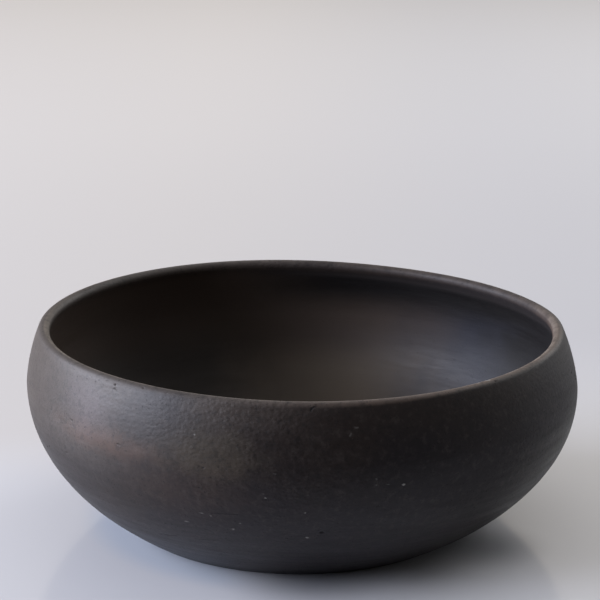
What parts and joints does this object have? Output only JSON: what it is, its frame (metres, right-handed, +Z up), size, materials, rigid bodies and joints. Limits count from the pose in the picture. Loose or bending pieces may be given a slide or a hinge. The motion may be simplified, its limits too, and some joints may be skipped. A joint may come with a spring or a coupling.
{
  "type": "clay bowl",
  "caption": "Wide open round bowl of burnished black clay with an incurved shoulder, a rounded lip and a broad flattened base.",
  "frame": {"origin": "centre of the flattened face the bowl rests on", "axes": "+Z up along the bowl's axis; X and Y are alike, because the bowl is round"},
  "size_m": [0.25, 0.25, 0.091],
  "materials": {
    "black_clay": "burnished satin"
  },
  "bodies": {
    "root": {"bowl": "black_clay"}
  },
  "joints": []
}
